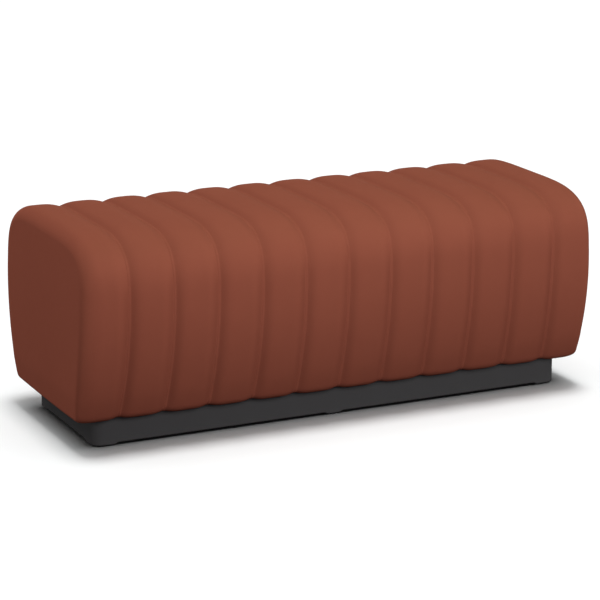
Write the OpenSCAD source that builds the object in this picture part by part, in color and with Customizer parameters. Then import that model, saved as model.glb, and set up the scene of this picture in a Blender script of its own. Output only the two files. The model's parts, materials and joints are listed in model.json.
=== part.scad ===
// Cushioned bench: channelled upholstery over a foam-faced plywood body,
// standing on a recessed dark plinth with six nail-on glides.
// Millimetres. The origin is on the floor under the middle of the bench,
// +X runs along its length, the front faces -Y and +Z is up.

/* [Channels] */
// Width of one sewn channel, from seam to seam
channel_w = 100; // [85:1:115]
// How far a channel swells above its seams
channel_crown = 5.6; // [3:0.2:9]
// How much wider the channels fan out at the bottom edge, in percent
channel_flare = 1.6; // [0:0.2:3]
// Thickness of a channel's padded cover
pad_t = 12; // [8:1:14]

/* [Cushioned body] */
// Depth of the body at its bottom edge
base_d = 374; // [356:2:400]
// Depth of the body at its widest
belly_d = 487; // [450:1:530]
// Height of the widest place above the body's bottom
belly_h = 264; // [220:2:280]
// Height of the cushioned body in its seams
body_h = 386; // [365:1:420]
// Squareness of the shoulders
shoulder_power = 3.7; // [3:0.1:5]
// Radius of the rounded bottom edge
bottom_r = 16; // [15:1:22]

/* [Ends] */
// How far each end stands out past its last channel's pitch
end_over = 5; // [0:1:20]
// Height above the body's bottom at which an end stands out most
end_belly_h = 120; // [80:5:180]
// How far an end leans in at its top
end_lean = 16.5; // [0:0.5:25]
// Radius of the rolled edge round an end
end_roll = 28; // [20:1:32]
// Radius of that edge where it meets the bottom
end_roll_low = 17; // [10:1:20]

/* [Plinth] */
// Height of the plinth below the body
plinth_h = 66; // [50:1:100]
// How far the plinth stands back from the body's front and back bottom edges
plinth_back = 17; // [14:1:20]
// How far the plinth stands back from the last channel's pitch
plinth_end_back = 41; // [36:1:45]
// Thickness of a plinth board
plinth_t = 18; // [15:1:22]
// Radius of the plinth's corners
plinth_r = 25; // [23:1:32]
// How far the lower edge is lifted between the feet
foot_relief = 3.5; // [2:0.5:8]
// Length of a corner foot, from the corner along each side
foot_l = 50; // [40:1:60]
// Length of the middle foot
mid_foot_l = 30; // [28:1:60]
// Length of the slope from a foot to the lifted edge
foot_slope = 6; // [3:1:10]
// Thickness of the plinth's cross rails
cross_t = 18; // [15:1:20]
// Width and height of the cleats that the bolts go through
cleat_w = 25; // [22:1:28]
// Side of the square corner blocks
block_w = 40; // [36:1:46]

/* [Frame] */
// Thickness of the base board
base_t = 18; // [15:1:22]
// Thickness of the seat deck
deck_t = 15; // [12:1:18]
// Thickness of the ribs
rib_t = 18; // [12:1:22]
// Thickness of the bent front and back panels
panel_t = 5; // [3:1:8]
// Thickness of the top rails
rail_t = 20; // [16:1:25]
// Height of the top rails
rail_h = 45; // [35:1:60]
// Side of the glue blocks
glue_block_w = 22; // [16:1:26]
// Length of the glue blocks
glue_block_l = 80; // [50:5:90]

/* [Foam] */
// Thickness of the seat foam
seat_foam_t = 55; // [40:1:70]
// Thickness of the front and back foam
side_foam_t = 20; // [12:1:26]
// Distance from an end rib's outer face to the last channel's pitch
end_set = 40; // [38:1:60]

/* [Hardware] */
// Distance between neighbouring bolts along a cleat
bolt_pitch = 280; // [240:5:300]
// Bolt shank diameter
bolt_d = 6; // [5:1:8]
// Bolt head diameter
bolt_head_d = 12; // [10:1:14]
// Bolt head height
bolt_head_h = 4; // [3:0.5:6]
// Tee nut barrel diameter
tee_d = 9; // [9:0.5:12]
// Tee nut barrel length
tee_l = 10; // [7:1:12]
// Tee nut flange diameter
tee_flange_d = 19; // [16:1:24]
// Tee nut flange thickness
tee_flange_t = 1.5; // [1:0.5:2.5]
// Diameter of a corner glide
glide_d = 30; // [20:1:34]
// Diameter of a middle glide
mid_glide_d = 14; // [10:1:15]
// Thickness of the glides
glide_h = 2; // [1.5:0.5:5]
// Diameter of a glide's nail
nail_d = 2.5; // [2:0.5:4]
// Length of a glide's nail
nail_l = 14; // [10:1:20]

/* [Clearances] */
// Gap between neighbouring channels and under them
soft_gap = 0.3; // [0.2:0.05:0.5]
// Gap beside boards and blocks
fit_gap = 0.3; // [0.2:0.05:0.5]
// Radial clearance of bolts, nuts and nails in their holes
hole_gap = 0.1; // [0.05:0.05:0.2]

/* [Hidden] */

cover_colour = "#8a4a38";
foam_colour = "#e8dcb8";
board_colour = "#c9a878";
plinth_colour = "#37383a";
steel_colour = "#b8bcc0";
nylon_colour = "#1c1c1e";

// Counts: the nodes are named for twelve channels and five ribs
channel_n = 12;
rib_n = 5;
bolts_per_cleat = 4;

// Steps of the section from the bottom edge to the middle of the top
arc_steps = 3;
flank_steps = 5;
shoulder_steps = 9;
// Places across a channel where its swell is drawn, as shares of its width
across = [0, 0.08, 0.25, 0.5, 0.75, 0.92, 1];
// The same for an end channel, up to where its swell is full
end_across = [0, 0.08, 0.25, 0.45];
// Fullness of a channel: 1 is a sine wave, less is rounder with a sharper seam
fullness = 0.67;
// Turns of an end's rolled edge, in degrees
roll_turns = [0, 30, 60, 90];
// Longer than the bench, for solids that are cut to their length afterwards
far = 4 * belly_d;
$fn = 48;

// Main heights and half sizes
body_z = glide_h + plinth_h;
half_l = channel_n * channel_w / 2;
base_half = base_d / 2;
belly_half = belly_d / 2;
plinth_half_d = base_half - plinth_back;
plinth_half_l = half_l - plinth_end_back;
plinth_top = body_z + pad_t;
foot_z = glide_h;
lifted_z = foot_z + foot_relief;

// Lean of the flank where it leaves the bottom edge, and the arc that rounds it
flank_lean = atan((belly_d - base_d) / belly_h);
arc_reach = bottom_r / tan((90 + flank_lean) / 2);
arc_top_z = arc_reach * cos(flank_lean);

// Half depth of a seam at a height between the bottom and the widest place
function flank_y(z) = belly_half - (belly_half - base_half) * pow(1 - z / belly_h, 2);

// Seam line of one side, from the lip beside the plinth up to the middle of the top
lip = [[plinth_half_d + fit_gap, 0]];
edge_arc = [for (i = [0:arc_steps])
    let (a = -90 + i * (90 - flank_lean) / arc_steps)
    [base_half - arc_reach + bottom_r * cos(a), bottom_r + bottom_r * sin(a)]];
flank = [for (i = [1:flank_steps])
    let (z = arc_top_z + (belly_h - arc_top_z) * i / flank_steps)
    [flank_y(z), z]];
shoulder = [for (i = [1:shoulder_steps])
    let (a = 90 * i / shoulder_steps, p = 2 / shoulder_power)
    [i == shoulder_steps ? 0 : belly_half * pow(cos(a), p),
     belly_h + (body_h - belly_h) * pow(sin(a), p)]];
half_seam = concat(lip, edge_arc, flank, shoulder);
top_i = len(half_seam) - 1;
last_i = 2 * top_i;

// The whole seam line, from the front lip over the top to the back lip
seam = concat(
    [for (p = half_seam) [-p[0], p[1]]],
    [for (i = [top_i - 1:-1:0]) half_seam[i]]);

// Outward direction of the seam line at each of its points
function unit(v) = v / norm(v);
function outward(i) =
    i <= 1 || i >= last_i - 1 ? [0, -1] :
    i == top_i ? [0, 1] :
    let (t = unit(seam[i + 1] - seam[i]) + unit(seam[i] - seam[i - 1]), u = unit(t))
    [-u[1], u[0]];

// A point of the section at a distance outside the seam line
function section_at(i, out) = seam[i] + outward(i) * out;

// Half depth, at a height above the body's bottom, of the section inside the seam line
function half_depth(z, out) = [for (i = [1:top_i - 1])
    let (a = section_at(i, out), b = section_at(i + 1, out))
    if (a[1] <= z && z < b[1]) -a[0] - (b[0] - a[0]) * (z - a[1]) / (b[1] - a[1])][0];

// The fan of the seams below the widest place
function fan(i) = seam[i][1] < belly_h ?
    1 + channel_flare / 100 * pow(1 - seam[i][1] / belly_h, 2) : 1;

// Half length of an end face at a height above the body's bottom
function end_x(z) =
    half_l + end_over - end_lean * pow((z - end_belly_h) / (body_h - end_belly_h), 2);

// Radius of the rolled edge at each point of the seam line, limited by the bottom edge's own
function roll_at(i) =
    let (low = min(end_roll_low, bottom_r + channel_crown - 1))
    low + (end_roll - low) * min(1, seam[i][1] / belly_h);

// Swell of a channel at a share of its width
function swell(v) = channel_crown * pow(max(sin(180 * v), 0), fullness);

// Two triangles between four points, and triangles from one point to a row of others
function two(a, b, c, d) = [[a, b, c], [a, c, d]];
function spread(p) = [for (k = [1:len(p) - 2]) [p[0], p[k], p[k + 1]]];
function turned(faces) = [for (f = faces) [f[2], f[1], f[0]]];

// The band between the rings of n points, for the columns named
function bands(columns, n) = [for (i = [0:last_i - 1]) for (k = columns)
    let (a = i * n + k, b = i * n + (k + 1) % n)
    each two(a, a + n, b + n, b)];

// A wall that closes one column of the rings, row by row from front to back
function wall(k, n) = let (p = function (i) i * n + k) concat(
    spread([for (i = [2, last_i - 2, last_i - 1, last_i, 0, 1]) p(i)]),
    [for (i = [2:top_i - 2]) each two(p(i), p(i + 1), p(last_i - i - 1), p(last_i - i))],
    [[p(top_i - 1), p(top_i), p(top_i + 1)]]);

// One middle channel, number k counted from the left end
module channel_pad(k) {
    n = len(across) + 2;
    x0 = k * channel_w - half_l + soft_gap / 2;
    width = channel_w - soft_gap;
    points = [for (i = [0:last_i]) each concat(
        [for (v = across)
            let (p = section_at(i, swell(v)))
            [(x0 + v * width) * fan(i), p[0], p[1]]],
        [for (v = [1, 0])
            let (p = section_at(i, -pad_t))
            [(x0 + v * width) * fan(i), p[0], p[1]]])];
    front_cap = spread(concat([n - 1], [for (k = [0:n - 2]) k]));
    back_cap = turned(front_cap + [for (f = front_cap) [1, 1, 1] * last_i * n]);
    color(cover_colour) translate([0, 0, body_z])
        polyhedron(points, concat(bands([0:n - 1], n), front_cap, back_cap));
}

// The right end channel, which rolls over into the closed end face
module end_pad() {
    rise_n = len(end_across);
    lip_k = rise_n;
    face_k = lip_k + len(roll_turns);
    n = face_k + 4;
    x0 = half_l - channel_w + soft_gap / 2;
    lip_x = plinth_half_l + fit_gap;
    points = [for (i = [0:last_i])
        let (r = roll_at(i),
            top = section_at(i, channel_crown),
            inner = section_at(i, -pad_t),
            full_x = (x0 + end_across[rise_n - 1] * channel_w) * fan(i),
            roll_x = end_x(top[1]) - r)
        each concat(
            [for (v = end_across)
                let (p = section_at(i, swell(v)))
                [(x0 + v * channel_w) * fan(i), p[0], p[1]]],
            [[min(lip_x, (full_x + roll_x) / 2), top[0], top[1]]],
            [for (a = roll_turns)
                let (p = section_at(i, channel_crown - r * (1 - cos(a))))
                [end_x(p[1]) - r * (1 - sin(a)), p[0], p[1]]],
            [[end_x(inner[1]) - pad_t, inner[0], inner[1]],
             [lip_x, inner[0], inner[1]],
             [x0 * fan(i), inner[0], inner[1]]])];
    inner_k = face_k + 1;
    inner_lip_k = face_k + 2;
    seam_k = face_k + 3;
    back = last_i * n;
    front_cap = spread(concat([seam_k], [for (k = [0:lip_k]) k], [inner_lip_k]));
    back_cap = turned(front_cap + [for (f = front_cap) [1, 1, 1] * back]);
    underside = [for (k = [lip_k:face_k - 1]) each two(k, k + 1, back + k + 1, back + k)];
    lip_top = two(inner_k, inner_lip_k, back + inner_lip_k, back + inner_k);
    lip_edge = two(lip_k, back + lip_k, back + inner_lip_k, inner_lip_k);
    columns = concat([for (k = [0:face_k - 1]) k], [inner_k, inner_lip_k, seam_k]);
    color(cover_colour) translate([0, 0, body_z])
        polyhedron(points, concat(bands(columns, n), wall(face_k, n), turned(wall(inner_k, n)),
            front_cap, back_cap, underside, lip_top, lip_edge));
}

// Distances of the layers inside the seam line
cover_in = pad_t + soft_gap;
foam_in = cover_in + side_foam_t + soft_gap;
panel_in = foam_in + panel_t;

// Heights of the frame's boards
base_top = plinth_top + base_t;
deck_top = body_z + body_h - cover_in - seat_foam_t;
deck_low = deck_top - deck_t;
frame_half_l = half_l - end_set;

// The section inside the seam line and above its rounded bottom edge, drawn right along the bench
module section_bar(inside) {
    first = arc_steps + 1;
    p = [for (i = [first:last_i - first]) section_at(i, -inside)];
    translate([0, 0, body_z])
        rotate([90, 0, 90])
            linear_extrude(far, center = true)
                polygon(p);
}

// The space that the two end covers leave between them, drawn right across the bench
module end_bar() {
    z = [for (i = [1:top_i]) section_at(i, -cover_in)[1]];
    side = [for (h = z) [end_x(h) - cover_in, h]];
    p = concat(side, [for (i = [len(side) - 1:-1:0]) [-side[i][0], side[i][1]]]);
    translate([0, 0, body_z])
        rotate([90, 0, 0])
            linear_extrude(far, center = true)
                polygon(p);
}

// A box between two corners
module box(low, high) {
    translate(low)
        cube(high - low);
}

module seat_foam() {
    color(foam_colour) intersection() {
        section_bar(cover_in);
        end_bar();
        box([-far, -far, deck_top], [far, far, far]);
    }
}

// Foam on the front flank
module side_foam() {
    color(foam_colour) intersection() {
        difference() {
            section_bar(cover_in);
            section_bar(foam_in - soft_gap);
        }
        box([-frame_half_l, -far, base_top], [frame_half_l, 0, deck_top]);
    }
}

// Foam on the right end
module end_foam() {
    color(foam_colour) intersection() {
        section_bar(cover_in);
        end_bar();
        box([frame_half_l, -far, base_top], [far, far, deck_top]);
    }
}

module seat_deck() {
    color(board_colour) intersection() {
        section_bar(foam_in);
        box([-frame_half_l, -far, deck_low], [frame_half_l, far, deck_top]);
    }
}

// Thin panel bent over the front of the ribs
module side_panel() {
    color(board_colour) intersection() {
        difference() {
            section_bar(foam_in);
            section_bar(panel_in);
        }
        box([-frame_half_l, -far, base_top], [frame_half_l, 0, deck_low]);
    }
}

// Inner face of a top rail
rail_y = half_depth(deck_low - body_z, -panel_in) - rail_t;

module top_rail() {
    color(board_colour) intersection() {
        section_bar(panel_in);
        box([-frame_half_l, -far, deck_low - rail_h], [frame_half_l, -rail_y, deck_low]);
    }
}

// Upright rib, number k counted from the left end, notched for the two top rails
function rib_x(k) = (frame_half_l - rib_t / 2) * (2 * (k - 1) / (rib_n - 1) - 1);
module rib(k) {
    x = rib_x(k);
    notch_z = deck_low - rail_h - fit_gap;
    color(board_colour) difference() {
        intersection() {
            section_bar(panel_in);
            box([x - rib_t / 2, -far, base_top], [x + rib_t / 2, far, deck_low]);
        }
        for (s = [-1, 1])
            translate([0, s * (rail_y - fit_gap + far / 2), notch_z + far / 2])
                cube(far, center = true);
    }
}

// Blocks glued into the corners between the ribs and the base board
module glue_blocks() {
    color(board_colour)
        for (k = [1:rib_n], s = [-1, 1]) {
            side = k == rib_n ? -1 : 1;
            translate([rib_x(k) + side * (rib_t + glue_block_w) / 2,
                    s * (glue_block_l / 2 + glue_block_w), base_top + glue_block_w / 2])
                cube([glue_block_w, glue_block_l, glue_block_w], center = true);
        }
}

// Places of the bolts that hold the plinth
bolt_y = plinth_half_d - plinth_t - cleat_w / 2;
module at_bolts() {
    for (i = [0:bolts_per_cleat - 1], s = [-1, 1])
        translate([(i - (bolts_per_cleat - 1) / 2) * bolt_pitch, s * bolt_y, 0])
            children();
}

board_half_d = base_half - arc_reach - soft_gap;
board_half_l = end_x(pad_t) - cover_in;

module base_board() {
    color(board_colour) difference() {
        box([-board_half_l, -board_half_d, plinth_top], [board_half_l, board_half_d, base_top]);
        at_bolts() {
            translate([0, 0, plinth_top - 1])
                cylinder(d = bolt_d + 2 * hole_gap, h = base_t + 2);
            translate([0, 0, base_top - tee_l])
                cylinder(d = tee_d + 2 * hole_gap, h = tee_l + 1);
        }
    }
}

// Lower edge of a plinth board, as steps along its half length, from the middle outwards
function foot_line(half, mid) = concat(
    mid == 0 ? [[0, lifted_z]] :
        [[0, foot_z], [mid / 2, foot_z], [mid / 2 + foot_slope, lifted_z]],
    [[half - foot_l - foot_slope, lifted_z], [half - foot_l, foot_z],
     [half - plinth_r, foot_z]]);

// A plinth board standing along X: its outer face at y = 0, its ends cut for the corner pieces
module plinth_board(half, mid) {
    edge = foot_line(half, mid);
    p = concat(
        [for (i = [len(edge) - 1:-1:0]) [-edge[i][0], edge[i][1]]],
        edge,
        [[half - plinth_r, plinth_top], [plinth_r - half, plinth_top]]);
    translate([0, plinth_t, 0])
        rotate([90, 0, 0])
            linear_extrude(plinth_t)
                polygon(p);
}

// Places of the middle glides' nails
module at_mid_glides() {
    for (s = [-1, 1])
        translate([0, s * (plinth_half_d - plinth_t / 2), 0])
            children();
}

module nail_hole() {
    translate([0, 0, foot_z - 1])
        cylinder(d = nail_d + 2 * hole_gap, h = nail_l + 1 + hole_gap);
}

// Front board of the plinth, with the middle foot
module plinth_long_board() {
    color(plinth_colour) difference() {
        translate([0, -plinth_half_d, 0])
            plinth_board(plinth_half_l, mid_foot_l);
        at_mid_glides()
            nail_hole();
    }
}

// Left board of the plinth
module plinth_end_board() {
    color(plinth_colour)
        translate([-plinth_half_l, 0, 0])
            rotate([0, 0, -90])
                plinth_board(plinth_half_d, 0);
}

// Rounded corner piece at the front right
module plinth_corner() {
    h = plinth_top - foot_z;
    color(plinth_colour)
        translate([plinth_half_l - plinth_r, plinth_r - plinth_half_d, foot_z])
            intersection() {
                difference() {
                    cylinder(r = plinth_r, h = h);
                    translate([0, 0, -1])
                        cylinder(r = plinth_r - plinth_t, h = h + 2);
                }
                box([0, -plinth_r, 0], [plinth_r, 0, h]);
            }
}

// Middle of the corner block at the front right
block_x = plinth_half_l - plinth_t - block_w / 2;
block_y = plinth_half_d - plinth_t - block_w / 2;

// Corner block, its outer edge cut off to clear the corner piece's inner round
module corner_block() {
    a = block_w / 2;
    c = max(plinth_r - plinth_t, 0);
    translate([block_x, -block_y, foot_z])
        linear_extrude(plinth_top - foot_z)
            polygon([[-a, -a], [a - c, -a], [a, c - a], [a, a], [-a, a]]);
}

module four_corners() {
    for (a = [0, 1], b = [0, 1])
        mirror([a, 0, 0])
            mirror([0, b, 0])
                children();
}

module corner_blocks() {
    color(board_colour)
        four_corners()
            difference() {
                corner_block();
                translate([block_x, -block_y, 0])
                    nail_hole();
            }
}

cleat_half_l = plinth_half_l - plinth_t - block_w - fit_gap;

module front_cleat() {
    y = plinth_t - plinth_half_d;
    color(board_colour) difference() {
        box([-cleat_half_l, y, plinth_top - cleat_w], [cleat_half_l, y + cleat_w, plinth_top]);
        at_bolts()
            translate([0, 0, plinth_top - cleat_w - 1])
                cylinder(d = bolt_d + 2 * hole_gap, h = cleat_w + 2);
    }
}

// Cross rail between the front and back boards, notched under the cleats
module cross_rail(x) {
    y = plinth_half_d - plinth_t - fit_gap;
    cut_y = y - cleat_w;
    cut_z = plinth_top - cleat_w - fit_gap;
    color(board_colour)
        translate([x - cross_t / 2, 0, 0])
            rotate([90, 0, 90])
                linear_extrude(cross_t)
                    polygon([[-y, lifted_z], [y, lifted_z], [y, cut_z], [cut_y, cut_z],
                        [cut_y, plinth_top], [-cut_y, plinth_top], [-cut_y, cut_z], [-y, cut_z]]);
}

module plinth_bolts() {
    z = plinth_top - cleat_w;
    color(steel_colour)
        at_bolts() {
            translate([0, 0, z])
                cylinder(d = bolt_d, h = cleat_w + base_t);
            translate([0, 0, z - bolt_head_h])
                cylinder(d = bolt_head_d, h = bolt_head_h, $fn = 6);
        }
}

module tee_nuts() {
    color(steel_colour)
        at_bolts()
            difference() {
                union() {
                    translate([0, 0, base_top - tee_l + hole_gap])
                        cylinder(d = tee_d, h = tee_l);
                    translate([0, 0, base_top])
                        cylinder(d = tee_flange_d, h = tee_flange_t);
                }
                translate([0, 0, base_top - tee_l - 1])
                    cylinder(d = bolt_d + 2 * hole_gap, h = tee_l + tee_flange_t + 2);
            }
}

// Nail-on glide
module glide(d) {
    cylinder(d = d, h = glide_h);
    cylinder(d = nail_d, h = glide_h + nail_l);
}

module glides() {
    color(nylon_colour) {
        four_corners()
            translate([block_x, -block_y, 0])
                glide(glide_d);
        at_mid_glides()
            glide(mid_glide_d);
    }
}

mirror([1, 0, 0]) end_pad();  // channel_01
channel_pad(1);  // channel_02
channel_pad(2);  // channel_03
channel_pad(3);  // channel_04
channel_pad(4);  // channel_05
channel_pad(5);  // channel_06
channel_pad(6);  // channel_07
channel_pad(7);  // channel_08
channel_pad(8);  // channel_09
channel_pad(9);  // channel_10
channel_pad(10);  // channel_11
end_pad();  // channel_12
seat_foam();
side_foam();  // front_foam
mirror([0, 1, 0]) side_foam();  // back_foam
mirror([1, 0, 0]) end_foam();  // left_foam
end_foam();  // right_foam
seat_deck();
side_panel();  // front_panel
mirror([0, 1, 0]) side_panel();  // back_panel
top_rail();  // front_top_rail
mirror([0, 1, 0]) top_rail();  // back_top_rail
rib(1);  // rib_1
rib(2);  // rib_2
rib(3);  // rib_3
rib(4);  // rib_4
rib(5);  // rib_5
glue_blocks();
base_board();
plinth_long_board();  // plinth_front_board
mirror([0, 1, 0]) plinth_long_board();  // plinth_back_board
plinth_end_board();  // plinth_left_board
mirror([1, 0, 0]) plinth_end_board();  // plinth_right_board
mirror([1, 0, 0]) plinth_corner();  // plinth_corner_front_left
plinth_corner();  // plinth_corner_front_right
rotate([0, 0, 180]) plinth_corner();  // plinth_corner_back_left
mirror([0, 1, 0]) plinth_corner();  // plinth_corner_back_right
corner_blocks();
front_cleat();
mirror([0, 1, 0]) front_cleat();  // back_cleat
cross_rail(-bolt_pitch);  // cross_rail_left
cross_rail(0);  // cross_rail_middle
cross_rail(bolt_pitch);  // cross_rail_right
plinth_bolts();
tee_nuts();
glides();
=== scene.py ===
# %% [markdown]
# # Dressing a channelled bench
#
# The construction of this bench comes packed as a frame: a plywood body, foam, a plinth and its
# hardware, in metres, with the floor at zero and the front facing -Y. This lesson adds what the
# eye meets: a cover sewn in channels, a lacquered plinth with soft edges, and a finish for every
# piece inside. Nothing in the frame is moved. New pieces take their places and sizes from it.

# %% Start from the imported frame
import json
import math

import bmesh
import bpy
import numpy as np
from mathutils import Matrix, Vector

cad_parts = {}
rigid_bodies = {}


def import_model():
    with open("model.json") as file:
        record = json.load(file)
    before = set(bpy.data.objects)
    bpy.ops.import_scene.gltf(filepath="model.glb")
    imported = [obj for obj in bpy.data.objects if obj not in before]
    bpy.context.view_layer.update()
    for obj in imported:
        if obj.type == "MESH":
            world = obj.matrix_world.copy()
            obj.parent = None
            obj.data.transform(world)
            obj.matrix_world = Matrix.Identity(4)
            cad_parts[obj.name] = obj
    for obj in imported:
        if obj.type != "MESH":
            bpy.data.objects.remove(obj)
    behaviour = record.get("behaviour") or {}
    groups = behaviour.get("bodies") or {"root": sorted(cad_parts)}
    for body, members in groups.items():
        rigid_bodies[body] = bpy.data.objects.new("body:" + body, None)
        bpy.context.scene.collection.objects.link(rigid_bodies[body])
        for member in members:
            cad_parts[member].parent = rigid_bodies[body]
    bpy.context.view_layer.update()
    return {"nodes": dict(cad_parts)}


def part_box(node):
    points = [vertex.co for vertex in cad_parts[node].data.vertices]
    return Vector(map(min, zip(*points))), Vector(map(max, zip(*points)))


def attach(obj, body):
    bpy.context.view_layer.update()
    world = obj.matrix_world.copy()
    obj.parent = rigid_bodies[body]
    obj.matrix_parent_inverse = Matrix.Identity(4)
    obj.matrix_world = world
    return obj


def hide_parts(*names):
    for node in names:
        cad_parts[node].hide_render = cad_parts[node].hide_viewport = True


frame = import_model()

# %% [markdown]
# ## The camera
#
# A catalogue picture is taken from far away with a long lens, so the bench's long edges stay
# nearly parallel. The camera stands to the left of the bench's front and looks a little down.
# It comes first, because every later choice is judged through it.

# %% Camera
CAMERA_PLACE = (-2.3259, -4.9274, 1.6819)
TURN = 25.25
DROP = 15.053
LENS = 152.86

bpy.ops.object.select_all(action="DESELECT")
bpy.ops.object.camera_add(
    location=CAMERA_PLACE, rotation=(math.radians(90 - DROP), 0, math.radians(-TURN)))
camera = bpy.context.object
camera.name = "camera"
camera.data.sensor_width = 36
camera.data.lens = LENS
bpy.context.scene.camera = camera
print("camera:", LENS, "mm lens,", TURN, "degrees round,", DROP, "degrees down")

# %% [markdown]
# ## The line of a seam
#
# Every seam follows one line: out from under the body, round its bottom edge, up the bowed
# flank, over the soft shoulder and down the back. The flank is a parabola that is widest two
# thirds of the way up, and the shoulder is a quarter of a squarish ellipse. Its two powers set how
# square it is: a higher one keeps the flank upright for longer, a lower one lets the top fall off
# sooner. Written as formulas, the line can be cut into even steps, which cloth likes. Its widest
# and highest points come from the frame, less the swell of a channel.

# %% Sizes of the cover
PITCH = 0.100  # from seam to seam
SWELL = 0.0082  # how far a channel's middle rises above its seams
LIP_SWELL = 0.0050  # the same at the lip, where the cover is pulled in under the body
LIP_DROP = 0.0027  # how much lower the swollen cover hangs than the seam line
PAD = 0.012  # thickness of cover and wadding
BASE_HALF = 0.187  # half the depth at the bottom edge
BELLY_UP = 0.2667  # height of the widest point above the body's bottom
EDGE_ROUND = 0.016  # radius of the bottom edge
SHOULDER_DEEP = 4.8  # power of the shoulder's curve, in depth
SHOULDER_HIGH = 2.9  # and in height
FLARE = 0.016  # how much the seams fan out at the floor
GAP = 0.0003  # between the cover and the plinth
EDGE_POINTS, FLANK_POINTS, SHOULDER_POINTS = 30, 100, 400

pad_low, pad_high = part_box("channel_06")
plinth_low, plinth_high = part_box("plinth_front_board")
corner_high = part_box("plinth_corner_back_right")[1]
body_z = pad_low.z + LIP_DROP
body_top = pad_high.z - SWELL - body_z
belly_half = pad_high.y - SWELL
plinth_half_l = corner_high.x
plinth_half_d = corner_high.y
print("body:", round(body_top, 4), "high,", round(2 * belly_half, 4), "deep at the belly")


# %% The seam line, in even steps
STEP = 0.008


def half_line():
    """Depth and height of a seam, from its lip beside the plinth to the middle of the top."""
    lean = math.atan(2 * (belly_half - BASE_HALF) / BELLY_UP)
    reach = EDGE_ROUND / math.tan((math.pi / 2 + lean) / 2)
    turn = np.linspace(-math.pi / 2, -lean, EDGE_POINTS)
    edge = np.stack([BASE_HALF - reach + EDGE_ROUND * np.cos(turn),
                     EDGE_ROUND + EDGE_ROUND * np.sin(turn)], 1)
    up = np.linspace(edge[-1, 1], BELLY_UP, FLANK_POINTS)[1:]
    flank = np.stack([belly_half - (belly_half - BASE_HALF) * (1 - up / BELLY_UP) ** 2, up], 1)
    turn = np.linspace(0, math.pi / 2, SHOULDER_POINTS)[1:]
    shoulder = np.stack([belly_half * np.cos(turn) ** (2 / SHOULDER_DEEP),
                         BELLY_UP + (body_top - BELLY_UP) * np.sin(turn) ** (2 / SHOULDER_HIGH)], 1)
    shoulder[-1] = 0, body_top
    return np.concatenate([[[plinth_half_d + GAP, 0]], edge, flank, shoulder])


def evenly(line, step):
    """The same line, its points a step apart."""
    along = np.concatenate([[0], np.cumsum(np.linalg.norm(np.diff(line, axis=0), axis=1))])
    places = np.linspace(0, along[-1], round(along[-1] / step) + 1)
    return np.stack([np.interp(places, along, line[:, k]) for k in (0, 1)], 1)


half = evenly(half_line(), STEP)
section = np.concatenate([half * (-1, 1), half[-2::-1]])
along = np.gradient(section, axis=0)
outward = np.stack([-along[:, 1], along[:, 0]], 1)
outward /= np.linalg.norm(outward, axis=1)[:, None]
ROWS = len(section)
fan = 1 + FLARE * np.clip(1 - section[:, 1] / BELLY_UP, 0, 1) ** 2
print("seam line:", ROWS, "points, one each", round(STEP * 1000), "mm")

# %% [markdown]
# ## From a flat grid to a filled channel
#
# A sewn channel is a strip of cover held down along two seams and pushed up by the padding
# between them. It could be carved from a solid, but then its swell would be guesswork. Here the
# strip starts as a flat grid laid along the seam line, is held at its seams, and is inflated by
# the cloth solver. The padding sets how far it can rise, so each point is stopped at that
# height. The rise is steep beside a seam and arches over to the middle, more slowly on the seat,
# where the padding is softer. Where the cover is stretched over the shoulder it rises a little
# less. The cloth is light and very stretchy, because the solver has less than a second to fill it.

# %% Sizes of the swell
SEAM_RIDGE = 0.0009  # height of the seam's own ridge
CREASE = 0.0030  # half its width
SLOPE_WIDTH = 0.030  # from the crease to the full rise, on the flank
SLOPE_WIDTH_TOP = 0.038  # and on the seat
SLOPE_POWER = 2.2
TIGHT_UP = 0.050  # height above the lip from which the cover is no longer pulled tight
SHOULDER_UP = 0.335  # height of the shoulder above the lip
SHOULDER_REACH = 0.052  # how far up and down from there it is stretched
SHOULDER_TIGHT = 0.20  # the share of the rise that this takes away
PRESSURE = 40
POINT_MASS = 0.02
STRETCH = 0.1
BEND = 0.005
FRAMES = 20
COVER_ANGLE = math.radians(40)  # edges sharper than this stay sharp


def fullness(height):
    """How far a channel's middle rises, at a height above the lip. The lip is pulled tight."""
    return LIP_SWELL + (SWELL - LIP_SWELL) * np.clip(height / TIGHT_UP, 0, 1)


def rise(across, height, stretched):
    """How far the cover can rise, at a distance from its seam and at a height.

    The seam itself is a low ridge, because its allowance is folded under it. A crease runs along
    each side of the ridge, and the channel rises from there. Where the cover is stretched over
    the shoulder it rises less. How much it is stretched, from 0 to 1, is given for each distance.
    """
    ridge = SEAM_RIDGE * np.clip(1 - (across / CREASE) ** 2, 0, 1)
    up_top = np.clip((height - BELLY_UP) / (body_top - BELLY_UP), 0, 1)[:, None]
    slope_width = SLOPE_WIDTH + (SLOPE_WIDTH_TOP - SLOPE_WIDTH) * up_top
    share = np.clip((across - CREASE) / slope_width, 0, 1)
    off_shoulder = np.clip(np.abs(height - SHOULDER_UP) / SHOULDER_REACH, 0, 1)
    flatter = SHOULDER_TIGHT * np.outer((1 - off_shoulder ** 2) ** 2, stretched)
    return ridge + fullness(height)[:, None] * (1 - (1 - share) ** SLOPE_POWER) * (1 - flatter)


print("a channel rises", round(1000 * SWELL, 1), "mm,", round(1000 * LIP_SWELL, 1), "mm at its lip")


# %% Helpers for meshes
def places(obj):
    """The vertices of a mesh, as rows of x, y and z."""
    flat = np.empty(len(obj.data.vertices) * 3)
    obj.data.vertices.foreach_get("co", flat)
    return flat.reshape(-1, 3)


def put(obj, points):
    """Moves the vertices of a mesh."""
    obj.data.vertices.foreach_set("co", np.ascontiguousarray(points).ravel())
    obj.data.update()


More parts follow.
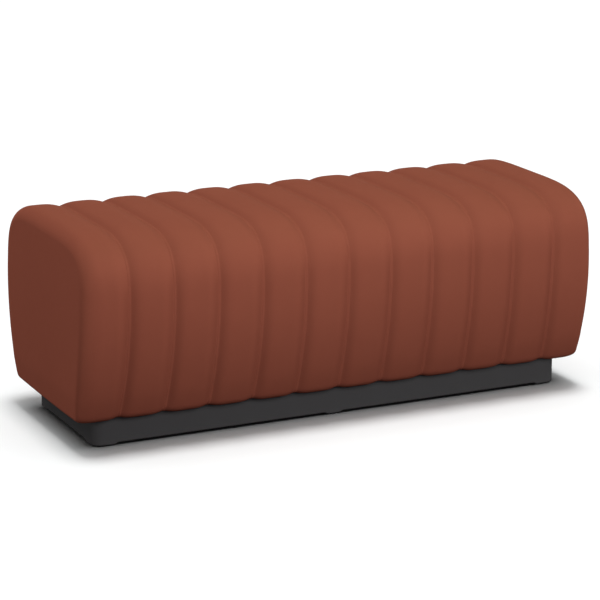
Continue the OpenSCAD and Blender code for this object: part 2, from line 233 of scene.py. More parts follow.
def only(obj):
    """Makes one object the only one selected, and active."""
    bpy.ops.object.select_all(action="DESELECT")
    obj.select_set(True)
    bpy.context.view_layer.objects.active = obj


def apply(obj, kind, **settings):
    """Adds a modifier with its settings and applies it."""
    only(obj)
    modifier = obj.modifiers.new(kind.title(), kind)
    for name, value in settings.items():
        setattr(modifier, name, value)
    bpy.ops.object.modifier_apply(modifier=modifier.name)


def laid_grid(name, points):
    """A grid of rows and columns, laid on an array of points, and its vertices' numbers."""
    rows, columns = points.shape[:2]
    bpy.ops.object.select_all(action="DESELECT")
    bpy.ops.mesh.primitive_grid_add(x_subdivisions=columns - 1, y_subdivisions=rows - 1, size=1)
    obj = bpy.context.object
    obj.name = name
    flat = places(obj).round(5)
    numbers = np.lexsort((flat[:, 0], flat[:, 1]))
    flat[numbers] = points.reshape(-1, 3)
    put(obj, flat)
    return obj, numbers.reshape(rows, columns)


print("ready to lay grids")


# %% Fill a panel like a cushion, and close it
def inflate(obj, limit, held):
    """Swells a panel like a filled channel, each point up to its limit.

    Held points are put at their limit first: at a seam that is the top of its low ridge, and over
    a firm edge it is the whole height of the padding.
    """
    start = places(obj)
    normals = np.empty(start.size)
    obj.data.vertices.foreach_get("normal", normals)
    normals = normals.reshape(-1, 3)
    risen = limit
    put(obj, start + normals * (limit * held)[:, None])
    only(obj)
    sewn = obj.vertex_groups.new(name="held")
    sewn.add(np.flatnonzero(held).tolist(), 1.0, "REPLACE")
    cloth = obj.modifiers.new("Cloth", "CLOTH")
    cloth.settings.vertex_group_mass = "held"
    cloth.settings.mass = POINT_MASS
    cloth.settings.tension_stiffness = STRETCH
    cloth.settings.compression_stiffness = STRETCH
    cloth.settings.shear_stiffness = STRETCH
    cloth.settings.bending_stiffness = BEND
    cloth.settings.use_pressure = True
    cloth.settings.uniform_pressure_force = PRESSURE
    cloth.settings.effector_weights.gravity = 0
    cloth.point_cache.frame_end = FRAMES
    for number in range(1, FRAMES + 1):
        bpy.context.scene.frame_set(number)
    bpy.ops.object.modifier_apply(modifier="Cloth")
    bpy.context.scene.frame_set(1)
    obj.vertex_groups.clear()
    free = ((places(obj) - start) * normals).sum(1)
    risen = np.where(held, limit, np.clip(free, 0, limit))
    print(obj.name, "filled its padding at", round(100 * float((risen >= limit).mean())),
          "% of its points, short by", round(1000 * float((limit - risen).max()), 2), "mm at most")
    put(obj, start + normals * risen[:, None])


def close(obj):
    """Rounds a swollen panel off and gives it the thickness of its padding."""
    apply(obj, "SUBSURF", levels=1, render_levels=1, boundary_smooth="PRESERVE_CORNERS")
    apply(obj, "SOLIDIFY", thickness=PAD, offset=-1)
    only(obj)
    bpy.ops.object.shade_smooth_by_angle(angle=COVER_ANGLE)


print("frames of cloth for a panel:", FRAMES)

# %% A middle channel
COLUMNS = 23
CROWDING = 0.75  # columns stand closer together beside the seams, where the cover curves most
share = np.linspace(0, 1, COLUMNS)
across = PITCH * (share - CROWDING * np.sin(2 * math.pi * share) / (2 * math.pi))


def in_space(x, line):
    """Points from their x and their depth and height in the section."""
    return np.concatenate([x[..., None], line[..., :1], line[..., 1:] + body_z], -1)


strip = in_space(np.tile(across, (ROWS, 1)), np.repeat(section[:, None], COLUMNS, 1))
middle, numbers = laid_grid("channel", strip)
limit = np.empty(ROWS * COLUMNS)
limit[numbers] = rise(np.minimum(across, PITCH - across), section[:, 1], np.ones(COLUMNS))
held = np.isin(np.arange(limit.size), numbers[:, [0, -1]])
inflate(middle, limit, held)
close(middle)
print("one channel:", len(middle.data.polygons), "faces")

# %% [markdown]
# ## Ten channels side by side
#
# The ten middle channels are cut from one pattern, so one is modelled and the rest are copies.
# Towards the floor the seams fan out a little, as they do when a cover is pulled down over a body
# that gets narrower. An Array modifier would space the copies evenly all the way down, so each
# copy is moved to its place instead, and then spread by the height of each point.

# %% Copies of the middle channel
SIDE_CHANNELS = 6


def fanned(obj):
    """Spreads a channel sideways towards the floor."""
    points = places(obj)
    height = np.clip(1 - (points[:, 2] - body_z) / BELLY_UP, 0, 1)
    points[:, 0] *= 1 + FLARE * height ** 2
    put(obj, points)


covers = {}
for number in range(2, 12):
    only(middle)
    bpy.ops.object.duplicate()
    copy = bpy.context.object
    copy.data.transform(Matrix.Translation(((number - 1 - SIDE_CHANNELS) * PITCH, 0, 0)))
    fanned(copy)
    copy.name = f"cover_{number:02d}"
    covers[f"channel_{number:02d}"] = copy
bpy.data.objects.remove(middle)
print("middle channels:", len(covers))

# %% [markdown]
# ## The two ends
#
# At each end the last channel doesn't stop at a seam. Its cover rolls over an edge and becomes
# the plain end panel, which leans in towards the top. The roll is tightest at the bottom, where a
# fuller one would fold into itself, and fuller higher up. The same grid makes the rolled part. A
# bridge closes the underside beside the plinth, and a grid fill closes the end panel, which keeps
# its faces square for the cloth. The panel starts inset by the swell, so that it rises to its
# real size.

# %% Sizes of an end
END_OVER = 0.0056  # how far the panel stands out past a whole channel
END_BELLY_UP = 0.105  # height of its widest point above the body's bottom
END_LEAN = 0.0110  # how far it has come in at the top
ROLL_WIDE = 0.045  # the roll's width along the bench, at the belly
ROLL_WIDE_LOW = 0.039  # and at the bottom
ROLL_DEEP = 0.0290  # its depth into the bench, at the belly and at the top
ROLL_DEEP_LOW = 0.0235  # near the bottom
ROLL_DEEP_EDGE = 0.015  # and at the bottom edge itself
ROLL_LOW_UP = 0.06  # where the bottom ends, for the roll's depth
ROLL_POINTS = 9  # round the roll
NEAR_SEAM = 0.036  # columns up to here keep the spacing of a middle channel
LIP_HIGH = 0.03  # up to here the cover bends towards the plinth's corner
PART_WAY = 0.55  # the next column's place on the way to the roll
RIM_OUT = 0.0215  # edges farther out from the plinth than this are the end panel's
UNDER_HIGH = 0.006  # up to here the cover is stapled under the body
UNDER_CUTS = 43  # in the bridge from the front lip to the back one


def end_x(up):
    """How far out an end panel stands, at a height above the body's bottom."""
    bow = (up - END_BELLY_UP) / (body_top - END_BELLY_UP)
    return SIDE_CHANNELS * PITCH + END_OVER - END_LEAN * bow ** 2


print("an end stands out to", round(end_x(END_BELLY_UP), 4), "m")

# %% The right end's panel, inset by the swell
up = section[:, 1]
deep = np.interp(up, (0, ROLL_LOW_UP, BELLY_UP), (ROLL_DEEP_EDGE, ROLL_DEEP_LOW, ROLL_DEEP)) - SWELL
wide = np.interp(up, (0, BELLY_UP, body_top), (ROLL_WIDE_LOW, ROLL_WIDE, ROLL_DEEP)) - SWELL
near = across[across < NEAR_SEAM]
columns = [((SIDE_CHANNELS - 1) * PITCH + a) * fan for a in near]
LIP_COLUMN = len(near)
lip_x = plinth_half_l + GAP
roll_x = end_x(up) - SWELL - wide
at_lip = np.clip(1 - up / LIP_HIGH, 0, 1)
columns.append(at_lip * lip_x + (1 - at_lip) * (columns[-1] + PART_WAY * (roll_x - columns[-1])))
columns += [columns[-1] + (roll_x - columns[-1]) * part for part in (1 / 3, 2 / 3)]
lines = [section] * len(columns)
ROLL_COLUMN = len(columns) - 1
for turn in np.radians(np.linspace(0, 90, ROLL_POINTS)):
    line = section - outward * (deep * (1 - math.cos(turn)))[:, None]
    lines.append(line)
    columns.append(end_x(line[:, 1]) - SWELL - wide * (1 - math.sin(turn)))
panel = in_space(np.stack(columns, 1), np.stack(lines, 1))
right, numbers = laid_grid("end", panel)
print("rolled panel:", panel.shape[:2], "points")


# %% Close the underside and the end panel
def select_edges(obj, pairs):
    """Selects, in edit mode, the edges between pairs of vertices."""
    mesh = bmesh.from_edit_mesh(obj.data)
    mesh.verts.ensure_lookup_table()
    for a, b in pairs:
        mesh.edges.get((mesh.verts[a], mesh.verts[b])).select_set(True)
    bmesh.update_edit_mesh(obj.data)


only(right)
bpy.ops.object.mode_set(mode="EDIT")
bpy.ops.mesh.select_mode(type="EDGE")
bpy.ops.mesh.select_all(action="DESELECT")
front, back = numbers[0, LIP_COLUMN:], numbers[-1, LIP_COLUMN:]
select_edges(right, [*zip(front[:-1], front[1:]), *zip(back[:-1], back[1:])])
bpy.ops.mesh.bridge_edge_loops(number_cuts=UNDER_CUTS)
bpy.ops.mesh.select_all(action="DESELECT")
mesh = bmesh.from_edit_mesh(right.data)
rim = {int(n) for n in numbers[:, -1]}
for edge in mesh.edges:
    ends = [v.co for v in edge.verts]
    outer = all(v.index in rim or v.index >= numbers.size for v in edge.verts)
    edge.select_set(edge.is_boundary and outer and min(e.x for e in ends) > lip_x + RIM_OUT)
mesh.verts.ensure_lookup_table()
mesh.select_history.clear()
mesh.select_history.add(mesh.verts[int(numbers[0, -1])])
chosen = sum(e.select for e in mesh.edges)
bmesh.update_edit_mesh(right.data)
known = len(mesh.verts)
bpy.ops.mesh.fill_grid(span=UNDER_CUTS + 1)
bpy.ops.mesh.select_all(action="SELECT")
bpy.ops.mesh.normals_make_consistent(inside=False)
bpy.ops.object.mode_set(mode="OBJECT")
print("end loop:", chosen, "edges, panel:", len(right.data.vertices), "points")

# %% Swell the end, mirror it, close both
face = places(right)
face[known:, 0] = end_x(face[known:, 2] - body_z) - SWELL
put(right, face)
limit = fullness(face[:, 2] - body_z)
limit[numbers[:, :LIP_COLUMN]] = rise(near, up, 1 - near / near[-1])
held = face[:, 2] < body_z + UNDER_HIGH
held[numbers] |= np.isin(np.arange(numbers.shape[1]), [0, *range(ROLL_COLUMN, numbers.shape[1])])
inflate(right, limit, held)
only(right)
bpy.ops.object.duplicate()
left = bpy.context.object
put(left, places(left) * (-1, 1, 1))
bpy.ops.object.mode_set(mode="EDIT")
bpy.ops.mesh.select_all(action="SELECT")
bpy.ops.mesh.flip_normals()
bpy.ops.object.mode_set(mode="OBJECT")
for obj, node in ((left, "channel_01"), (right, "channel_12")):
    close(obj)
    obj.name = node.replace("channel", "cover")
    covers[node] = obj
print("an end:", len(right.data.polygons), "faces")

# %% Put the covers in their places
for node, piece in sorted(covers.items()):
    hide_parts(node)
    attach(piece, "root")
print("covers:", len(covers))

# %% [markdown]
# ## The plinth
#
# The plinth is made of boards with rounded corner pieces, sanded flush and lacquered, so the eye
# meets one band without a joint. A box cut out with a Boolean would give that band too, but its
# long thin faces are hard to soften. So it starts as a rectangle. Its corners are bevelled, its
# outline is cut where the feet begin and end, and the outline is drawn up to make a wall. Solidify
# gives the boards' thickness, and a bevel softens the lower edge, which shows as a curve at the
# corners. Only then are the points between the feet raised, so that the bevel's faces stay even.

# %% Sizes of the plinth
BOARD = 0.018  # thickness
CORNER_ROUND = 0.025
FOOT = 0.050  # length of a corner foot
MIDDLE_FOOT = 0.030
FOOT_SLOPE = 0.006  # from a foot to the full lift
LIFT = 0.0035  # between two feet
LOWER_ROUND = 0.004
LEVEL = 0.9  # a face whose normal points this far up or down is level
NEARBY = 1e-5
PLINTH_ANGLE = math.radians(35)

wall_high = plinth_high.z - plinth_low.z
foot_in_x = plinth_half_l - FOOT
foot_in_y = plinth_half_d - FOOT
middle_foot_in = MIDDLE_FOOT / 2 + FOOT_SLOPE
cuts = [(0, sign * place) for sign in (-1, 1)
        for place in (foot_in_x, foot_in_x - FOOT_SLOPE, MIDDLE_FOOT / 2, middle_foot_in)]
cuts += [(1, sign * place) for sign in (-1, 1) for place in (foot_in_y, foot_in_y - FOOT_SLOPE)]
print("plinth:", round(2 * plinth_half_l, 3), "by", round(2 * plinth_half_d, 3), "m")
print("cuts for the feet:", len(cuts))


# %% Draw the wall up from its outline
bpy.ops.object.select_all(action="DESELECT")
bpy.ops.mesh.primitive_plane_add(size=2)
skirt = bpy.context.object
skirt.name = "plinth_skirt"
put(skirt, places(skirt) * (plinth_half_l, plinth_half_d, 1) + (0, 0, plinth_low.z))
bpy.ops.object.mode_set(mode="EDIT")
bpy.ops.mesh.select_mode(type="VERT")
bpy.ops.mesh.select_all(action="SELECT")
bpy.ops.mesh.bevel(offset=CORNER_ROUND, segments=10, affect="VERTICES")
for axis, place in cuts:
    point, normal = [0, 0, 0], [0, 0, 0]
    point[axis], normal[axis] = place, 1
    bpy.ops.mesh.select_all(action="SELECT")
    bpy.ops.mesh.bisect(plane_co=point, plane_no=normal)
bpy.ops.mesh.select_mode(type="EDGE")
bpy.ops.mesh.select_all(action="SELECT")
bpy.ops.mesh.region_to_loop()
bpy.ops.mesh.extrude_region_move(TRANSFORM_OT_translate={"value": (0, 0, wall_high)})
bpy.ops.mesh.select_mode(type="FACE")
bpy.ops.mesh.select_all(action="DESELECT")
mesh = bmesh.from_edit_mesh(skirt.data)
mesh.normal_update()
for face in mesh.faces:
    face.select_set(abs(face.normal.z) > LEVEL)
bpy.ops.mesh.delete(type="FACE")
bpy.ops.mesh.select_all(action="SELECT")
bpy.ops.mesh.normals_make_consistent(inside=False)
bpy.ops.object.mode_set(mode="OBJECT")
print("wall:", len(skirt.data.polygons), "faces")

# %% Thickness, a soft lower edge, and feet
def between_feet(point):
    """Whether a point of the wall is in a stretch between two feet."""
    x, y = abs(point.x), abs(point.y)
    if y > plinth_half_d - BOARD - NEARBY and x < foot_in_x - FOOT_SLOPE + NEARBY:
        return x > middle_foot_in - NEARBY
    return x > plinth_half_l - BOARD - NEARBY and y < foot_in_y - FOOT_SLOPE + NEARBY


apply(skirt, "SOLIDIFY", thickness=BOARD, offset=-1, use_even_offset=True)
bpy.ops.object.mode_set(mode="EDIT")
bpy.ops.mesh.select_mode(type="EDGE")
bpy.ops.mesh.select_all(action="DESELECT")
mesh = bmesh.from_edit_mesh(skirt.data)
for edge in mesh.edges:
    down = [face.normal.z < -LEVEL for face in edge.link_faces]
    centre = (edge.verts[0].co + edge.verts[1].co) / 2
    outside = any(abs(f.normal.z) < LEVEL and f.normal.x * centre.x + f.normal.y * centre.y > 0
                  for f in edge.link_faces)
    edge.select_set(any(down) and not all(down) and outside)
bpy.ops.mesh.bevel(offset=LOWER_ROUND, segments=5, affect="EDGES", profile=0.5)
bpy.ops.mesh.select_mode(type="VERT")
bpy.ops.mesh.select_all(action="DESELECT")
mesh = bmesh.from_edit_mesh(skirt.data)
for vertex in mesh.verts:
    is_low = vertex.co.z < plinth_low.z + LOWER_ROUND + NEARBY
    vertex.select_set(is_low and between_feet(vertex.co))
lifted = sum(vertex.select for vertex in mesh.verts)
bpy.ops.transform.translate(value=(0, 0, LIFT))
bpy.ops.object.mode_set(mode="OBJECT")
only(skirt)
bpy.ops.object.shade_smooth_by_angle(angle=PLINTH_ANGLE)
apply(skirt, "WEIGHTED_NORMAL", weight=100, keep_sharp=True)
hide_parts(*[f"plinth_{side}_board" for side in ("front", "back", "left", "right")],
            *[f"plinth_corner_{end}_{side}" for end in ("front", "back") for side in ("left", "right")])
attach(skirt, "root")
print("skirt:", len(skirt.data.polygons), "faces,", lifted, "points lifted")

# %% [markdown]
# ## Writing materials as sums
#
# A material's pattern is arithmetic on coordinates and noise. Wired up call by call it is hard to
# read, so one small class stands for a wire between nodes, and Python's own signs add the Math
# nodes. A second class makes any other node from its type, its settings and its inputs.


# %% A wire that can be added and multiplied
class Wire:
    """A number that changes over a surface: one output of a node."""

    def __init__(self, finish, socket):
        self.finish = finish
        self.socket = socket

    def maths(self, operation, *others):
        """A Math node with this wire as its first value."""
        return self.finish.node("ShaderNodeMath", {"operation": operation},
                                dict(enumerate((self, *others))))

    def __add__(self, other):
        return self.maths("ADD", other)

    def __mul__(self, other):
        return self.maths("MULTIPLY", other)

    def __sub__(self, other):
        return self.maths("SUBTRACT", other)

    def __rsub__(self, other):
        return self * -1.0 + other

    def __truediv__(self, other):
        return self.maths("DIVIDE", other)

    def __pow__(self, other):
        return self.maths("POWER", other)

    def __abs__(self):
        return self.maths("ABSOLUTE")

    def between(self, low, high):
        """0 up to a low value, 1 from a high one, and a soft step between the two."""
        soft = {"clamp": True, "interpolation_type": "SMOOTHSTEP"}
        return self.finish.node("ShaderNodeMapRange", soft, {
            "Value": self, "From Min": low, "From Max": high, "To Min": 0.0, "To Max": 1.0}, "Result")

    __radd__ = __add__
    __rmul__ = __mul__


print("ready to do sums on wires")


# %% A node tree, put together wire by wire
class Finish:
    """A node tree being put together. A material's ends in a Principled BSDF."""

    def __init__(self, tree):
        self.tree = tree
        self.tree.nodes.clear()

    def node(self, kind, settings, inputs, output=None):
        """Adds a node. Settings come first, because some of them change which inputs there are."""
        node = self.tree.nodes.new(kind)
        for name, value in settings.items():
            if name == "stops":
                ramp = node.color_ramp
                ramp.elements[0].position, ramp.elements[0].color = value[0]
                ramp.elements[1].position, ramp.elements[1].color = value[-1]
                for position, colour in value[1:-1]:
                    ramp.elements.new(position).color = colour
            else:
                setattr(node, name, value)
        open_inputs = [socket for socket in node.inputs if socket.enabled]
        for name, value in inputs.items():
            socket = open_inputs[name] if isinstance(name, int) else next(
                s for s in open_inputs if s.name == name)
            if isinstance(value, Wire):
                self.tree.links.new(value.socket, socket)
            else:
                socket.default_value = value
        outputs = [s for s in node.outputs if s.enabled and (output is None or s.name == output)]
        return Wire(self, outputs[0]) if outputs else None

    def place(self):
        """Where a point is, in metres."""
        return self.node("ShaderNodeTexCoord", {}, {}, "Object")

    def stretched(self, scale):
        """The same place scaled along each axis. A scale below 1 draws a pattern out."""
        return self.node("ShaderNodeVectorMath", {"operation": "MULTIPLY"},
                         {0: self.place(), 1: scale})

    def height(self):
        """How high a point is above the floor."""
        return self.node("ShaderNodeSeparateXYZ", {}, {"Vector": self.place()}, "Z")

    def noise(self, scale, detail=2.0, roughness=0.5, vector=None):
        """Smooth noise from 0 to 1. The scale is in waves to the metre."""
        return self.node("ShaderNodeTexNoise", {}, {
            "Vector": vector or self.place(), "Scale": scale, "Detail": detail,
            "Roughness": roughness}, "Fac")

    def mix(self, amount, first, second):
        """Two colours mixed."""
        return self.node("ShaderNodeMix", {"data_type": "RGBA"},
                         {"Factor": amount, "A": first, "B": second}, "Result")

    def ramp(self, amount, *stops):
        """A number turned into a colour, through stops."""
        return self.node("ShaderNodeValToRGB", {"stops": stops}, {"Fac": amount}, "Color")

    def bump(self, height, depth, strength=1.0):
        """Relief whose height of 1 is a depth in metres."""
        return self.node("ShaderNodeBump", {}, {
            "Height": height, "Distance": depth, "Strength": strength}, "Normal")

    def surface(self, **inputs):
        """The shader at the end. Underscores in the names of its inputs stand for spaces."""
        named = {name.replace("_", " "): value for name, value in inputs.items()}
        shader = self.node("ShaderNodeBsdfPrincipled", {}, named, "BSDF")
        self.node("ShaderNodeOutputMaterial", {}, {"Surface": shader})


def new_finish(name):
    """A new material and its node tree."""
    material = bpy.data.materials.new(name)
    material.use_nodes = True
    return material, Finish(material.node_tree)


print("ready to make finishes")

# %% [markdown]
# ## The cover's leather
#
# The cover is a matte leather in a rust colour. From across a room it looks plain. Close by, it
# has a fine pebble grain under two millimetres wide, with creases between the pebbles, and its
# dye is a little uneven. An image of leather would blur close by and repeat, so the grain is a
# cell pattern read as relief. Its creases are darker and rougher than the tops of the pebbles,
# which are rubbed smooth. Painted shade darkens the colour in the hollows beside the seams, where
# shade falls in the creases, so the shader works out how far a point is from the nearest seam. The
# seams fan out towards the floor there just as they do in the mesh. This painted shade is weakest
# over the shoulder and comes partly back on the seat. The leather has next to no mirror shine,
# because even a little would veil it wherever it is seen at a grazing angle.

# %% Leather
RUST = (0.312, 0.0915, 0.0560, 1)
RUST_DEEP = (0.272, 0.0770, 0.0470, 1)
# painted shade: the colour that stands in for the shade in the creases beside the seams
RUST_PAINTED_SHADE = (0.156, 0.0440, 0.0275, 1)
PAINTED_SHADE_FROM = (0.0015, 0.0065)  # distances from the seam over which the painted shade deepens
PAINTED_SHADE_TO = (0.0085, 0.0240)  # and over which it ends
PAINTED_SHADE_SHARE = 0.15
PAINTED_SHADE_FADE = (0.320, 0.390)  # heights above the floor
PAINTED_SHADE_RETURN = (0.405, 0.445)
PAINTED_SHADE_FADED, PAINTED_SHADE_RETURNED = 0.7, 0.4  # shares of the painted shade's colour
PATCH_SCALE, WANDER_SCALE = 9.0, 55.0
PEBBLE_SCALE = 720.0
PORE_SCALE = 2600.0
PEBBLE_DEPTH = 0.00006
MATTE = 0.002

leather, f = new_finish("cover_leather")
x = f.node("ShaderNodeSeparateXYZ", {}, {"Vector": f.place()}, "X")
z = f.height()
below_belly = (body_z + BELLY_UP - z).maths("MAXIMUM", 0.0) / BELLY_UP
number = x / (below_belly ** 2.0 * FLARE + 1.0) / PITCH
last_seam = SIDE_CHANNELS - 1.0
nearest = number.maths("ROUND").maths("MINIMUM", last_seam).maths("MAXIMUM", -last_seam)
off_seam = abs(number - nearest) * PITCH
# painted shade: darker colour beside each seam, where shade falls in the crease; weaker on the
# shoulder, partly back on the seat
painted_shade = off_seam.between(*PAINTED_SHADE_FROM) - off_seam.between(*PAINTED_SHADE_TO)
painted_shade = painted_shade * (1 - z.between(*PAINTED_SHADE_FADE) * PAINTED_SHADE_FADED + z.between(*PAINTED_SHADE_RETURN) * PAINTED_SHADE_RETURNED)
wander = f.noise(WANDER_SCALE, 3.0)
patches = f.noise(PATCH_SCALE, 2.0)
cells = f.node("ShaderNodeTexVoronoi", {"feature": "DISTANCE_TO_EDGE"},
               {"Vector": f.place(), "Scale": PEBBLE_SCALE}, "Distance")
pores = f.noise(PORE_SCALE, 1.0)
pebble = (cells * 4.0).maths("MINIMUM", 1.0)
dye_and_painted_shade = f.mix(patches * 0.5 + wander * 0.3, RUST, RUST_DEEP)
dye_and_painted_shade = f.mix((1 - pebble) * 0.22, dye_and_painted_shade, RUST_DEEP)
# the painted shade mixed into the leather's colour
dye_and_painted_shade = f.mix(painted_shade * PAINTED_SHADE_SHARE, dye_and_painted_shade, RUST_PAINTED_SHADE)
relief = pebble * 0.8 + pores * 0.2
f.surface(Base_Color=dye_and_painted_shade, Roughness=0.66 - pebble * 0.06 + wander * 0.04,
          Specular_IOR_Level=MATTE, Normal=f.bump(relief, PEBBLE_DEPTH, 0.6))
print("leather:", len(leather.node_tree.nodes), "nodes")

# %% [markdown]
# ## The plinth's lacquer
#
# The plinth is sprayed in a matte charcoal. Spray leaves a very fine orange peel, and grit in the
# paint a faint fleck. Both are too fine to see from afar, but they keep the paint from looking
# like plastic close by. Its lower edge gets scuffed by shoes and brooms, so the lacquer is a
# little greyer there. A shinier lacquer would mirror the white floor beside the plinth's ends.

# %% Lacquer
CHARCOAL = (0.0705, 0.0705, 0.0707, 1)
CHARCOAL_WORN = (0.0805, 0.0805, 0.0805, 1)
PEEL_SCALE = 900.0
PEEL_DEPTH = 0.00004
FLECK_SCALE = 3200.0
CLOUD_SCALE, SCUFF_SCALE = 14.0, 160.0
SCUFFED = (0.002, 0.016)  # heights above the floor over which the scuffs thin out

lacquer, f = new_finish("plinth_lacquer")
peel = f.noise(PEEL_SCALE, 2.0)
fleck = f.noise(FLECK_SCALE, 0.0)
cloud = f.noise(CLOUD_SCALE, 3.0)
scuff = (1 - f.height().between(*SCUFFED)) * f.noise(SCUFF_SCALE, 4.0, 0.6) ** 2.0
paint = f.mix(scuff, CHARCOAL, CHARCOAL_WORN)
paint = f.mix((fleck - 0.5) * 0.3 + cloud * 0.12, paint, CHARCOAL_WORN)
f.surface(Base_Color=paint, Roughness=0.52 + scuff * 0.2 + cloud * 0.05,
          Specular_IOR_Level=MATTE, Normal=f.bump(peel, PEEL_DEPTH, 0.5))
print("lacquer:", len(lacquer.node_tree.nodes), "nodes")

# %% [markdown]
# ## Finishes for the pieces inside
#
# Nobody sees these until the bench is turned over or opened, but the part is kept whole, so each
# gets a finish of its own. Birch plywood has a long pale grain, so its noise is drawn out along
# the bench. Foam is a mass of small cells. The bolts are zinc plated, and the glides are moulded
# in black nylon.

# %% Plywood and foam
BIRCH_DARK = (0.47, 0.30, 0.155, 1)
BIRCH = (0.60, 0.42, 0.24, 1)
BIRCH_PALE = (0.69, 0.52, 0.33, 1)
CREAM = (0.78, 0.69, 0.46, 1)
CREAM_PALE = (0.86, 0.79, 0.58, 1)
CREAM_DEEP = (0.52, 0.43, 0.25, 1)
GRAIN_SCALE, RING_SCALE = 60.0, 9.0
CAST_SCALE, BUBBLE_SCALE = 25.0, 650.0

plywood, f = new_finish("birch_plywood")
grain = f.noise(GRAIN_SCALE, 5.0, 0.62, f.stretched((0.12, 1.0, 1.0)))
rings = f.noise(RING_SCALE, 2.0, 0.5, f.stretched((0.25, 1.0, 1.0)))
birch = f.ramp(grain * 0.6 + rings * 0.4,
               (0.30, BIRCH_DARK), (0.55, BIRCH), (0.75, BIRCH_PALE))
f.surface(Base_Color=birch, Roughness=0.62 + grain * 0.12, Specular_IOR_Level=0.3,
          Normal=f.bump(grain, 0.0001, 0.5))

foam, f = new_finish("seat_foam")
bubbles = f.node("ShaderNodeTexVoronoi", {"feature": "F1"},
                 {"Vector": f.place(), "Scale": BUBBLE_SCALE}, "Distance")
cast = f.noise(CAST_SCALE, 3.0)
cream = f.mix(cast, CREAM, CREAM_PALE)
cream = f.mix(bubbles * 0.35, cream, CREAM_DEEP)
f.surface(Base_Color=cream, Roughness=0.9 + cast * 0.05, Specular_IOR_Level=0.1,
          Normal=f.bump(1 - bubbles, 0.0004, 0.6))
print("plywood and foam are ready")

# %% Zinc and nylon
ZINC_DARK = (0.50, 0.51, 0.53, 1)
ZINC = (0.66, 0.66, 0.66, 1)
NYLON_DARK = (0.016, 0.016, 0.018, 1)
NYLON = (0.026, 0.026, 0.028, 1)
SPANGLE_SCALE, DRAWN_SCALE = 380.0, 1500.0
SHADE_SCALE, SPARK_SCALE = 80.0, 1400.0

zinc, f = new_finish("zinc_plate")
spangle = f.noise(SPANGLE_SCALE, 3.0, 0.6)
drawn = f.noise(DRAWN_SCALE, 2.0, 0.5, f.stretched((1.0, 1.0, 0.1)))
f.surface(Base_Color=f.mix(spangle, ZINC_DARK, ZINC), Metallic=1.0,
          Roughness=0.28 + spangle * 0.18, Normal=f.bump(drawn, 0.00002, 0.5))

nylon, f = new_finish("black_nylon")
shade = f.noise(SHADE_SCALE)
spark = f.noise(SPARK_SCALE, 2.0)
f.surface(Base_Color=f.mix(shade, NYLON_DARK, NYLON), Roughness=0.55 + spark * 0.12,
          Specular_IOR_Level=0.35, Normal=f.bump(spark, 0.00003, 0.6))
print("zinc and nylon are ready")

# %% Give every piece its finish
def dress(obj, finish):
    """Puts one material in all the slots of an object."""
    if not obj.material_slots:
        obj.data.materials.append(finish)
    for slot in obj.material_slots:
        slot.material = finish


def finish_of(node):
    """The finish of a node of the frame, from its name."""
    if node.endswith("_foam"):
        return foam
    if node.startswith("channel_"):
        return leather
    if node in ("plinth_bolts", "tee_nuts"):
        return zinc
    if node == "glides":
        return nylon
    return lacquer if node.startswith("plinth_") else plywood


for node, obj in frame["nodes"].items():
    dress(obj, finish_of(node))
for piece in covers.values():
    dress(piece, leather)
dress(skirt, lacquer)
print("dressed:", len(frame["nodes"]), "nodes and", len(covers) + 1, "new pieces")

# %% [markdown]
# ## Floor and background
#
# A catalogue picture has no horizon: floor and background are the same white, and only a soft
# shadow says where the floor is. So the floor is wide, and it is white for the camera and for
# reflections. For light that bounces it is dark, because a white floor would fill the shade
# under the body with light that the picture doesn't have. The sky does the same. The bench throws
# a little red on the floor, so the floor's own red is a touch lower.

# %% Floor and sky
def seen_straight(f):
    """1 for the camera, for mirror images and through glass, else 0."""
    path = [f.node("ShaderNodeLightPath", {}, {}, name)
            for name in ("Is Camera Ray", "Is Glossy Ray", "Is Transmission Ray")]
    return f.node("ShaderNodeMath", {"operation": "ADD", "use_clamp": True},
                  {0: path[0], 1: path[1] + path[2]})


FLOOR_WHITE = 0.9
LESS_RED = 0.98
DARK = 0.05
FLOOR_SIZE = 240
bpy.ops.object.select_all(action="DESELECT")
bpy.ops.mesh.primitive_plane_add(size=FLOOR_SIZE)
floor = bpy.context.object
floor.name = "floor"
pale, f = new_finish("floor_white")
tone = f.mix(seen_straight(f), (DARK, DARK, DARK, 1),
             (LESS_RED * FLOOR_WHITE, FLOOR_WHITE, FLOOR_WHITE, 1))
f.surface(Base_Color=tone, Roughness=1.0, Specular_IOR_Level=0.0)
dress(floor, pale)

sky = bpy.data.worlds.new("sky")
bpy.context.scene.world = sky
sky.use_nodes = True
f = Finish(sky.node_tree)
glow = f.node("ShaderNodeBackground", {}, {
    "Color": (1, 1, 1, 1), "Strength": DARK + (1 - DARK) * seen_straight(f)}, "Background")
f.node("ShaderNodeOutputWorld", {}, {"Surface": glow})
print("floor and sky are ready")

# %% [markdown]
# ## Lamps
#
# One big lamp would light the front well and leave the rest flat or dark, so seven round lamps
# light the bench. Three stand close in front, so that the light falls off a little along the
# flank. The other four are far away: one at each end, one high above that draws the seat, and one
# behind that draws the shoulders and the back. A slight tint on five of them keeps the rust
# colour the same on every side. They leave the floor alone. Its shadow comes from two lights
# straight above, a narrow one that keeps it close around the plinth and a broad one that softens
# its rim. Light linking says which lamp lights what.

# %% A lamp that leaves the floor out
AIM_HIGH = 0.25


def lights_only(name, state):
    """A collection for light linking that takes the floor in or leaves it out."""
    group = bpy.data.collections.new(name)
    group.objects.link(floor)
    group.collection_objects[0].light_linking.link_state = state
    return group


not_floor = lights_only("all_but_floor", "EXCLUDE")
just_floor = lights_only("floor_alone", "INCLUDE")


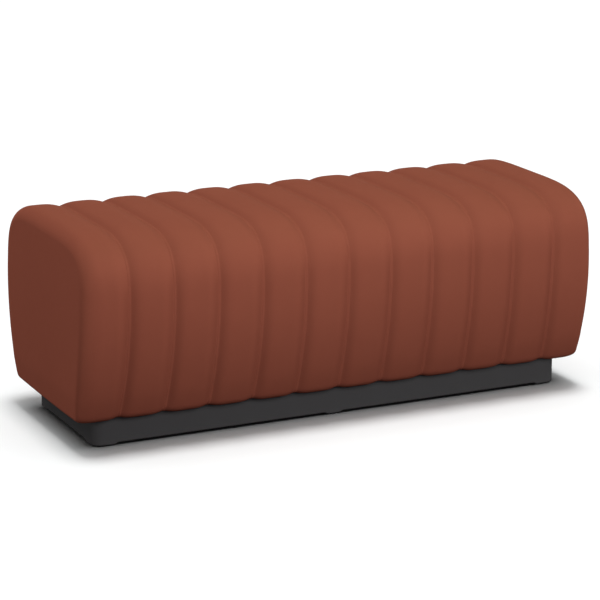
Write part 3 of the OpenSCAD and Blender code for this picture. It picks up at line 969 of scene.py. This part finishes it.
def lamp(name, turn, rise_angle, half_width, level, far, tint=(1, 1, 1)):
    """A round lamp aimed at the bench. Turn is from the front towards the right, all in degrees."""
    turn, rise_angle, half_width = (math.radians(a) for a in (turn, rise_angle, half_width))
    x, y, z = (math.sin(turn) * math.cos(rise_angle), -math.cos(turn) * math.cos(rise_angle),
               math.sin(rise_angle))
    bpy.ops.object.select_all(action="DESELECT")
    bpy.ops.object.light_add(type="AREA", location=(far * x, far * y, AIM_HIGH + far * z),
                             rotation=(math.pi / 2 - rise_angle, 0, turn))
    light = bpy.context.object
    light.name = name
    radius = far * math.tan(half_width)
    light.data.color = tint
    light.data.shape = "DISK"
    light.data.size = 2 * radius
    light.data.energy = level / (2 * (1 - math.cos(half_width))) * (math.pi * radius) ** 2
    light.visible_camera = False
    light.visible_glossy = False
    light.light_linking.receiver_collection = not_floor


print("light linking:", not_floor.name, "and", just_floor.name)

# %% Lamps for the bench, and lights for the floor alone
NEAR, FAR = 1.7, 8.0
ABOVE_LEAN = 2
ABOVE_LEVEL = 1.075

lamp("front_lamp", 0, 25, 14, 0.325, NEAR)
lamp("front_lamp_left", -30, 15, 14, 0.126, NEAR, (1, 0.86, 0.95))
lamp("front_lamp_right", 45, 5, 14, 0.170, NEAR, (1, 0.94, 0.98))
lamp("left_lamp", -90, 5, 15, 0.190, FAR)
lamp("right_lamp", 90, 35, 15, 0.298, FAR, (1, 1.1, 1.02))
lamp("top_lamp", -30, 70, 15, 0.224, FAR, (1, 1.20, 1.06))
lamp("back_lamp", -150, 35, 15, 0.485, FAR, (1, 0.90, 0.95))
for name, angle, share in (("overhead_light", 14, 0.49), ("overhead_haze", 75, 0.51)):
    bpy.ops.object.light_add(type="SUN", rotation=(0, math.radians(ABOVE_LEAN), 0))
    overhead = bpy.context.object
    overhead.name = name
    overhead.data.angle = math.radians(angle)
    overhead.data.energy = ABOVE_LEVEL * share * math.pi / FLOOR_WHITE
    overhead.light_linking.receiver_collection = just_floor

# %% [markdown]
# ## The view transform
#
# The view transform stays plain, so that a colour renders as it is written.

# %% The view transform
bpy.context.scene.view_settings.view_transform = "Standard"
